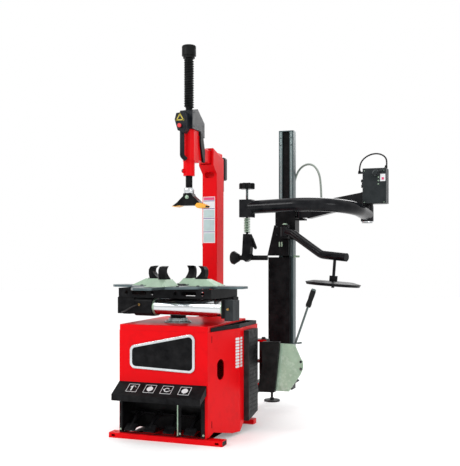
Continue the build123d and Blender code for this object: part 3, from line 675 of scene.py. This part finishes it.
# collars, fittings, flange bolts and the short air line of each barrel
NIPPLE = [(0.006, 0), (0.006, 0.010), (0.004, 0.011), (0.004, 0.018)]
fittings, brass, air = Shape(), Shape(), Shape()
for side in (1, -1):
    flip = TURN @ Matrix.Rotation(0 if side == 1 else math.pi, 3, "Z")
    for x in (-0.078, 0.326):
        fittings.turned(
            flip @ Vector((x, BARREL_Y, BARREL_Z)), flip @ Vector(TO_RIGHT),
            [(0.046, 0), (0.046, 0.006), (0.043, 0.009)], 48,
        )
    for x, y, z in ((-0.150, -0.150, 0.700), (0.372, -0.140, 0.690)):
        brass.turned(flip @ Vector((x, y, z)), flip @ Vector(TO_FRONT), NIPPLE, 12)
    for dz in (-0.036, 0.036):
        for dy in (-0.036, 0.036):
            brass.bolt(
                flip @ Vector((0.335, BARREL_Y + dy, BARREL_Z + dz)), flip @ Vector(TO_LEFT),
                0.005, washer=False,
            )
    route = [
        (-0.150, -0.160, 0.700), (-0.150, -0.176, 0.700), (-0.176, -0.184, 0.690),
        (-0.220, -0.176, 0.668), (-0.262, -0.160, 0.656), (-0.262, -0.150, 0.656),
    ]
    air.tube(smooth_path([flip @ Vector(p) for p in route]), 0.004)
fittings.made("barrel_collars", "turntable", ZINC, slot="plated_steel")
brass.made("barrel_fittings", "turntable", BRASS, slot="plated_steel")
air.made("barrel_air_lines", "turntable", RUBBER, slot="rubber")

# ------------------------------------------------------------------ column
COLUMN_FRONT, PRINT_THICK = 0.460, 0.0003
LABEL_LEFT, LABEL_RIGHT, LABEL_LOW, LABEL_TOP = -0.040, 0.036, 1.036, 1.311


def label(name, margin, rows, finish, lift):
    """Flat coloured fields of the column's sticker; rows are pairs of low and top."""
    left, right = LABEL_LEFT + margin, LABEL_RIGHT - margin
    sheet = Shape()
    for z0, z1 in rows:
        outline = [(left, z0), (right, z0), (right, z1), (left, z1)]
        sheet.prism(outline, (0, COLUMN_FRONT - lift, 0), TO_RIGHT, UP, PRINT_THICK)
    sheet.made(name, "tilting_column", finish)


FIELD_ROWS = ((1.188, 1.232), (1.108, 1.174), (1.042, 1.094))
LINE_ROWS = [(z, z + 0.004) for z in (1.284, 1.238, 1.180, 1.100)]
label("column_label", 0, [(LABEL_LOW, LABEL_TOP)], WHITE, 0)
label("column_label_header", 0.003, [(1.291, 1.308)], LABEL_PINK, PRINT_THICK)
label("column_label_lines", 0.003, LINE_ROWS, LABEL_BLUE, PRINT_THICK)
label("column_label_fields", 0.005, FIELD_ROWS, LABEL_GREY, PRINT_THICK)

# the air line clipped along the column's left side
clips = Shape()
line_path = [(-0.052, 0.500, z) for z in (0.70, 0.90, 1.10, 1.30)] + [(-0.052, 0.510, 1.42)]
clips.tube(smooth_path(line_path), 0.005)
for z in (0.80, 1.02, 1.24):
    clips.block((-0.0585, 0.490, z), (-0.046, 0.510, z + 0.012))
clips.made("column_air_line", "tilting_column", RUBBER, 0.0008, "rubber")

# the slide arm's cable duct, wear strip and tail
duct = Shape()
duct.prism(
    [(0.226, 1.660), (0.262, 1.648), (0.293, 1.560), (0.293, 1.492), (0.262, 1.492), (0.226, 1.600)],
    (0.030, 0, 0), TO_BACK, UP, 0.010,
)
duct.made("arm_duct", "tool_arm", BLACK, 0.002, "black_paint")
guides = Shape().block((-0.022, 0.320, 1.5795), (0.022, 0.585, 1.5825))
guides.made("arm_slide_strip", "tool_arm", STEEL, 0.0006, "plated_steel")
tail_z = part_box("arm_tail_cap")[0].z
lower_tail = Shape().block((-0.030, 0.604, tail_z - 0.070), (0.030, 0.634, tail_z + 0.004))
lower_tail.made("arm_tail_cylinder", "tool_arm", RAIL, 0.005, "plated_steel")

# the tool head's clamp boss with its screw, and its lower step
BOSS_AXIS = (-0.62, -0.78, 0)
ears = Shape().turned((-0.016, 0.130, 1.432), BOSS_AXIS, [(0.012, 0), (0.012, 0.014), (0.010, 0.017)], 24)
ears.made("head_screw_boss", "tool_arm", RED, 0.001, "red_paint")
boss_screw = Shape().screw((-0.0265, 0.1167, 1.432), BOSS_AXIS, 0.006)
boss_screw.made("head_screw", "tool_arm", DARK_STEEL, slot="plated_steel")
head_step = Shape().turned(
    (0, POST_Y, 1.492), DOWN, [(0.0345, 0), (0.0345, 0.004), (0.0325, 0.007)], 48
)
head_step.made("head_step", "tool_arm", RED, slot="red_paint")

# warning triangle, without any lettering, over the lock button
triangle = Shape()
outer = [(-0.041, 1.703), (0.009, 1.703), (-0.016, 1.745)]
SIGN_Y, SIGN_BAND = 0.060, 0.006
for k in range(3):
    a, b = Vector(outer[k]), Vector(outer[(k + 1) % 3])
    along = (b - a).normalized()
    side = Vector((-along.y, along.x)) * SIGN_BAND
    strip = [tuple(p) for p in (a, b, b + side, a + side)]
    triangle.prism(strip, (0, SIGN_Y, 0), TO_RIGHT, UP, 0.0006)
triangle.made("head_sign", "tool_arm", SIGN_YELLOW, slot="black_plastic")
cover_screws = Shape()
for y, z in ((0.135, 1.680), (0.270, 1.700), (0.135, 1.755)):
    cover_screws.screw((0.038, y, z), TO_RIGHT, 0.004)
    cover_screws.screw((-0.038, y + 0.05, z), TO_LEFT, 0.004)
cover_screws.made("cover_screws", "tool_arm", DARK_STEEL, slot="plated_steel")

# ------------------------------------------------------------------ mounting tool
collar = Shape().turned(
    (0, POST_Y, 1.307), UP, [(0.0275, 0), (0.029, 0.003), (0.029, 0.028), (0.0275, 0.031)], 48
)
collar.made("shaft_collar", "tool", CHROME, slot="bright_steel")
inserts = Shape()
inserts.prism(
    [(0.048, 1.238), (0.060, 1.252), (0.078, 1.252), (0.1135, 1.238), (0.108, 1.2255), (0.062, 1.2235)],
    (0, 0.184, 0), TO_RIGHT, UP, 0.068,
)
inserts.prism(
    [
        (-0.0905, 1.240), (-0.072, 1.236), (-0.044, 1.2415), (-0.046, 1.2385), (-0.072, 1.232),
        (-0.0918, 1.236),
    ],
    (0, 0.181, 0), TO_RIGHT, UP, 0.062,
)
inserts.made("head_inserts", "tool", YELLOW, 0.002, "black_plastic")
head_bolt = Shape().bolt((0, 0.120, 1.286), TO_FRONT, 0.008)
head_bolt.made("mount_head_bolt", "tool", ZINC, slot="plated_steel")

# the return spring as a coil over its sleeve, with a mesh of its own
SPRING_TURNS, SPRING_RADIUS, SPRING_WIRE, SPRING_SLEEVE = 20, 0.0235, 0.0044, 0.0222
SPRING_SEAT = 0.005  # each end of the spring sits this far inside its length
coil_low, coil_high = (corner.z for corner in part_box("return_spring"))
coil_low, coil_high = coil_low + SPRING_SEAT, coil_high - SPRING_SEAT
return_coil = Shape()
return_coil.tube(helix((0, POST_Y), SPRING_RADIUS, coil_low, coil_high, SPRING_TURNS, 24), SPRING_WIRE, 12)
return_coil.turned(
    (0, POST_Y, coil_low), UP, [(SPRING_SLEEVE, 0), (SPRING_SLEEVE, coil_high - coil_low)], 32
)
return_coil = return_coil.made("return_coil", "tool", PLASTIC, slot="black_plastic")
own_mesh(return_coil)
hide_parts("return_spring")

# ------------------------------------------------------------------ bead breaker
grip_dir = Vector((0.083, 0, 0.238)).normalized()
grip_start = Vector((0.585, 0.250, 0.477)) + grip_dir * 0.222
GRIP_PROFILE = [
    (0.0105, -0.006), (0.0145, 0.0), (0.0155, 0.012), (0.0135, 0.030), (0.0150, 0.060),
    (0.0150, 0.082), (0.012, 0.096),
]
grip = Shape().turned(grip_start, grip_dir, GRIP_PROFILE, 32)
grip.made("handle_grip", "breaker", PLASTIC, slot="black_plastic")
blade_bolts = Shape()
for z in (0.345, 0.385):
    blade_bolts.bolt((0.622, 0.234, z), TO_FRONT, 0.008, washer=False)
blade_bolts.made("blade_bolts", "breaker", DARK_STEEL, slot="plated_steel")

# ------------------------------------------------------------------ mast and carriage
mast_low, mast_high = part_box("mast")
RAIL_XS, RAIL_FOOT, RAIL_TOP = (0.3225, 0.3905), 0.960, 1.738
rails = Shape()
for x in RAIL_XS:
    for x0, proud in ((x - 0.006, 0.0002), (x + 0.001, 0.0001)):
        rails.block((x0, mast_low.y - proud, RAIL_FOOT), (x0 + 0.005, mast_low.y + 0.001, RAIL_TOP))
rails.made("mast_rails", "base", STEEL, 0.0004, "plated_steel")
channel = Shape().block((0.336, mast_low.y + 0.010, 0.175), (0.377, mast_low.y + 0.018, 1.736))
channel.made("mast_channel", "base", SLOT_BLACK, slot="black_paint")
mast_holes = Shape()
for x in RAIL_XS:
    for z in (1.655, 1.700):
        mast_holes.screw((x, mast_low.y - 0.001, z), TO_FRONT, 0.004)
mast_holes.made("mast_screws", "base", DARK_STEEL, slot="plated_steel")
PIN_PROFILE = [(0.010, 0), (0.010, 0.010), (0.0065, 0.012), (0.0065, 0.036), (0.005, 0.038)]
pin = Shape().turned((mast_high.x, 0.880, 0.955), TO_RIGHT, PIN_PROFILE, 24)
pin.made("mast_stop_pin", "base", ZINC, slot="plated_steel")

carriage_bits = Shape()
for x in (0.312, 0.372):
    for z in (1.090, 1.140):
        carriage_bits.bolt((x, 0.818, z), TO_FRONT, 0.006, washer=False)
carriage_bits.made("carriage_bolts", "carriage", DARK_STEEL, slot="plated_steel")
pins = Shape()
SMALL_PIN = [(0.0038, -0.014), (0.0045, -0.01), (0.0045, 0.012), (0.0038, 0.016)]
for x in (0.329, 0.344):
    pins.turned((x, 0.8178, 1.030), UP, SMALL_PIN, 16)
pins.turned(
    (SWING_X, SWING_Y, 1.150), UP, [(0.017, 0), (0.017, 0.003), (0.012, 0.006), (0.0115, 0.0095)], 32
)
pins.made("carriage_pins", "carriage", ZINC, slot="plated_steel")
heads = Shape().bolt((LINK_X, LINK_Y, 1.295), UP, 0.015)
heads.made("link_pin_nut", "carriage", DARK_STEEL, slot="plated_steel")
holder = Shape().turned((0.385, 0.943, 1.290), UP, [(0.0075, 0), (0.0075, 0.020), (0.0068, 0.024)], 20)
holder.made("hose_socket", "carriage", BRASS, slot="plated_steel")

# ------------------------------------------------------------------ helper arms
elbow = Shape().turned(
    (ELBOW_X, ELBOW_Y, 1.154), UP, [(0.012, 0), (0.029, 0.0008), (0.033, 0.004), (0.033, 0.010)], 40
)
elbow.made("elbow_ring", "reach", CHROME, slot="bright_steel")
nut = Shape().bolt((ELBOW_X, ELBOW_Y, 1.338), UP, 0.013)
nut.made("elbow_nut", "link", DARK_STEEL, slot="plated_steel")

# the valve box's screws, blank tag, knob, hose fittings and foot
BOX_FRONT = 0.635
trim = Shape()
for z in (1.412, 1.392, 1.372):
    trim.screw((0.974, BOX_FRONT, z), TO_FRONT, 0.0045)
for x in (0.893, 1.006):
    for z in (1.268, 1.450):
        trim.screw((x, BOX_FRONT, z), TO_FRONT, 0.003)
trim.made("control_box_screws", "link", ZINC, slot="plated_steel")
TAG_THICK = 0.0005
tag = Shape().prism(
    [(0.984, 1.388), (1.014, 1.388), (1.014, 1.430), (0.984, 1.430)],
    (0, BOX_FRONT, 0), TO_RIGHT, UP, TAG_THICK,
)
tag.made("control_box_tag", "link", WHITE)
tag_mark = Shape().prism(
    [(0.992, 1.396), (1.006, 1.396), (1.006, 1.410), (0.992, 1.410)],
    (0, BOX_FRONT - TAG_THICK, 0), TO_RIGHT, UP, 0.0003,
)
tag_mark.made("control_box_tag_mark", "link", LABEL_PINK)
KNOB_X, KNOB_Y = 0.872, 0.716
stops = Shape()
stops.turned((KNOB_X, KNOB_Y, 1.360), UP, [(0.012, 0), (0.012, 0.014), (0.009, 0.018), (0.009, 0.030)], 20)
stops.turned((KNOB_X, KNOB_Y, 1.392), UP, [(0.0135, 0), (0.0135, 0.012), (0.010, 0.016)], 20)
stops.made("lock_knob", "link", PLASTIC, slot="black_plastic")
plug = Shape()
for at in ((0.854, 0.696, 1.440), (1.010, 0.688, 1.4635)):
    plug.turned(at, UP, [(0.0078, 0), (0.0078, 0.016), (0.0060, 0.020)], 16)
plug.made("loop_fittings", "link", PLASTIC, slot="black_plastic")
ferrule = Shape().turned(
    (0.588, 0.851, 1.262), UP, [(0.012, 0), (0.012, 0.034), (0.009, 0.038), (0.009, 0.050)], 24
)
ferrule.made("grey_hose_fitting", "link", BLACK, slot="black_paint")
box_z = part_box("control_box")[0].z
edge_strip = Shape().block((0.886, 0.640, box_z - 0.002), (1.010, 0.730, box_z))
edge_strip.made("control_box_base", "link", BLACK, 0.001, "black_paint")

# ------------------------------------------------------------------ press
screw_rod = Shape()
profile = []
THREAD_LOW, THREAD_HIGH, PITCH = 1.284, 1.343, 0.003
z = THREAD_LOW
while z < THREAD_HIGH:
    profile += [(0.0078, z), (0.0068, z + PITCH / 2)]
    z += PITCH
screw_rod.turned((PRESS_X, PRESS_Y, 0), UP, profile, 24)
screw_rod.made("press_thread", "press", STEEL, slot="plated_steel")

COIL_TURNS, COIL_RADIUS, COIL_WIRE, low_z, high_z = 9, 0.0165, 0.0026, 1.092, 1.176
coil = helix((PRESS_X, PRESS_Y), COIL_RADIUS, low_z, high_z, COIL_TURNS, 20)
spring = Shape().tube(coil, COIL_WIRE, 10).made("press_coil", "press", ZINC, slot="plated_steel")
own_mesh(spring)
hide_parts("press_spring")

claw = Shape().prism(
    [(0.290, 1.064), (0.296, 1.062), (0.318, 1.006), (0.312, 0.996), (0.304, 1.006), (0.288, 1.050)],
    (0, 0.404, 0), TO_RIGHT, UP, 0.028,
)
claw.made("press_claw", "press", BLACK, 0.0015, "black_paint")
CONE_PROFILE = [(0.036, -0.006), (0.0365, 0.0), (0.030, 0.005), (0.016, 0.006)]
ball = Shape().turned((0.171, PRESS_Y, 0.948), TO_LEFT, CONE_PROFILE, 40)
ball.made("press_cone_cap", "press", BLACK, slot="black_paint")


# ------------------------------------------------------------------ stage
def area_light(name, at, aim, size, power):
    """A round soft light at a place, aimed at a point."""
    data = bpy.data.lights.new(name, "AREA")
    data.shape = "DISK"
    data.size = size
    data.energy = power
    lamp = bpy.data.objects.new(name, data)
    lamp.location = at
    lamp.rotation_euler = (Vector(aim) - Vector(at)).to_track_quat("-Z", "Y").to_euler()
    bpy.context.scene.collection.objects.link(lamp)


area_light("key", (-2.6, -3.4, 3.4), (0.2, 0.2, 0.9), 1.8, 75)
area_light("fill", (4.2, -2.4, 2.0), (0.4, 0.2, 0.8), 1.6, 30)
area_light("back", (0.8, 4.2, 3.2), (0.3, 0.2, 1.0), 2.4, 50)
area_light("top", (0.3, 0.0, 5.0), (0.3, 0.3, 0.0), 2.4, 40)

world = bpy.data.worlds.new("studio")
world.use_nodes = True
world.node_tree.nodes["Background"].inputs["Color"].default_value = (1, 1, 1, 1)
world.node_tree.nodes["Background"].inputs["Strength"].default_value = 1.0
bpy.context.scene.world = world

floor_mesh = bpy.data.meshes.new("floor")
FLOOR = 14  # half its side
floor_mesh.from_pydata(
    [(-FLOOR, -FLOOR, 0), (FLOOR, -FLOOR, 0), (FLOOR, FLOOR, 0), (-FLOOR, FLOOR, 0)], [], [(0, 1, 2, 3)]
)
floor = bpy.data.objects.new("floor", floor_mesh)
bpy.context.scene.collection.objects.link(floor)
floor_paint = material(
    "floor", (0.8, 0.8, 0.8, 1), 0.65, grain=0.05, grain_size=0.01, mottle=0.01, mottle_size=0.8
)
floor_shader = floor_paint.node_tree.nodes["Principled BSDF"]
floor_shader.inputs["Emission Color"].default_value = (1, 1, 1, 1)
floor_shader.inputs["Emission Strength"].default_value = 0.2
floor_mesh.materials.append(floor_paint)
